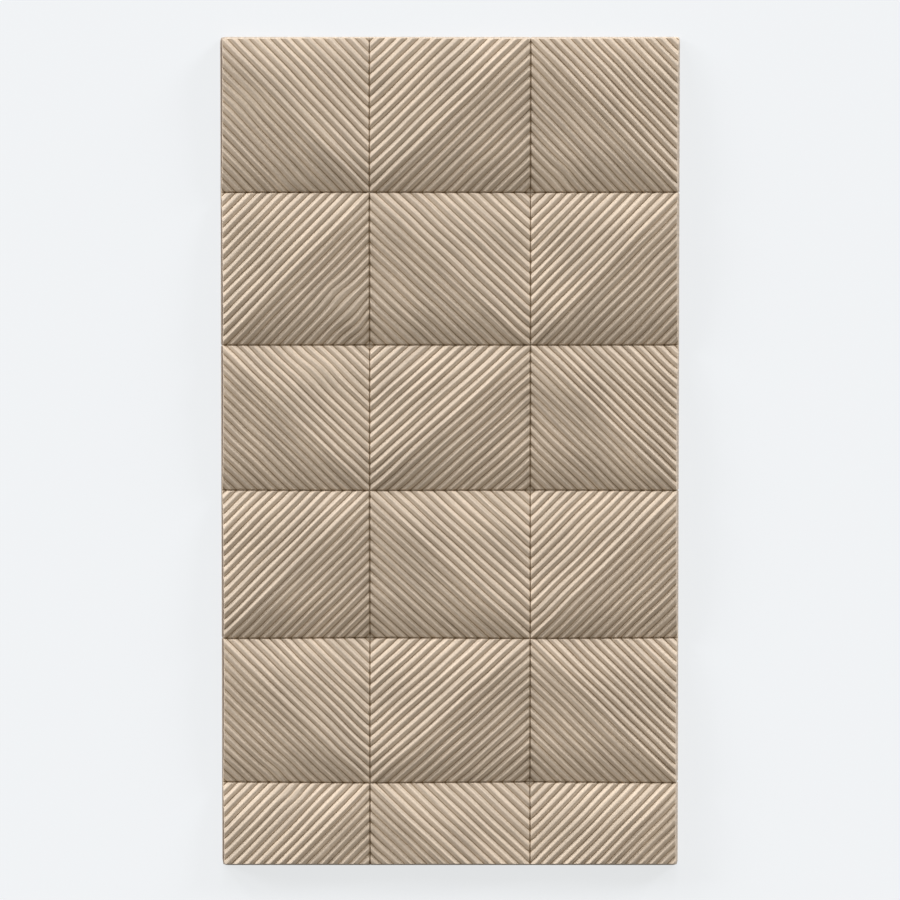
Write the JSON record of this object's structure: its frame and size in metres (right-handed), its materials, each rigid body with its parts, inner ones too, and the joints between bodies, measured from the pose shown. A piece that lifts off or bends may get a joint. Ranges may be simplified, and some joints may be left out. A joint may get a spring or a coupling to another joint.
{
  "type": "3d wall panel tile",
  "caption": "Relief wall panel with a chequer of cells, each ribbed along its diagonal ridge, with V grooves on the cell borders and a flat back.",
  "frame": {"origin": "middle of the flat back face, which is the lowest face", "axes": "+X across the panel, to the right in the picture; +Y up its length, to the picture's top edge; +Z out of the ribbed face"},
  "size_m": [0.6, 1.087, 0.025],
  "materials": {
    "panel_body": "matte, raw fibreboard"
  },
  "bodies": {
    "root": {"wall_panel": "panel_body"}
  },
  "joints": []
}
